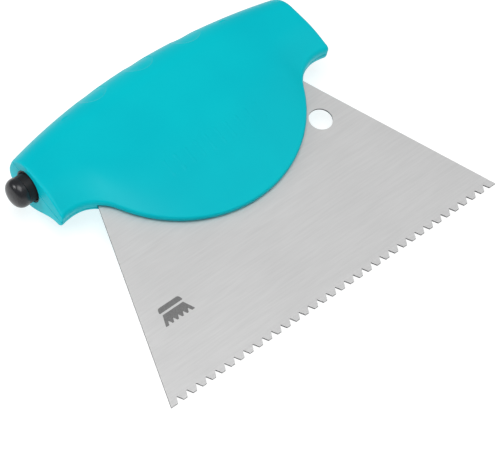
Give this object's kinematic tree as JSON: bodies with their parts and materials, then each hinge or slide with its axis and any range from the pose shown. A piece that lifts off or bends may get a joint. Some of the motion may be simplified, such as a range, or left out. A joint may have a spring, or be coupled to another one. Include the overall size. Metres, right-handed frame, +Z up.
{
  "type": "notched trowel",
  "caption": "Hand trowel with a wide toothed steel blade for spreading adhesive, a split plastic palm grip and a push button at the grip's end that frees the blade.",
  "frame": {"origin": "on the surface that the tool lies on, under the middle of its overall length and depth", "axes": "+X along the toothed edge, away from the button; +Y from the teeth towards the grip's spine; +Z up, out of the front face as the tool lies on its back"},
  "size_m": [0.18, 0.1365, 0.029],
  "materials": {
    "turquoise_plastic": "moulded, satin gloss",
    "blade_steel": "fine ground stainless spring steel",
    "black_plastic": "moulded, satin",
    "black_rubber": "smooth, slightly glossy",
    "bright_steel": "ground",
    "spring_steel": "drawn wire and strip",
    "zinc_steel": "bright zinc plate",
    "bronze": "sintered bronze",
    "white_nylon": "plain"
  },
  "bodies": {
    "grip": {"blade": "blade_steel", "front_shell": "turquoise_plastic", "rear_shell": "turquoise_plastic", "button_bush": "black_plastic", "rod_bush": "bronze", "return_spring": "spring_steel", "locating_dowels": "bright_steel", "guide_screws": "zinc_steel", "guide_washers": "white_nylon", "tension_leaf": "spring_steel", "shell_screws": "zinc_steel", "wing_screws": "zinc_steel"},
    "button": {"button_core": "black_plastic", "button_cap": "black_rubber", "plunger_rod": "bright_steel", "retaining_clips": "spring_steel", "lock_slide": "zinc_steel", "lock_studs": "bright_steel"}
  },
  "joints": [
    {"name": "button_press", "type": "slide", "parent": "grip", "child": "button", "axis": [1, 0, 0], "range_m": [0, 0.006], "stiffness_N_per_m": 800, "springref_m": -0.003, "deforming": ["return_spring"]}
  ]
}
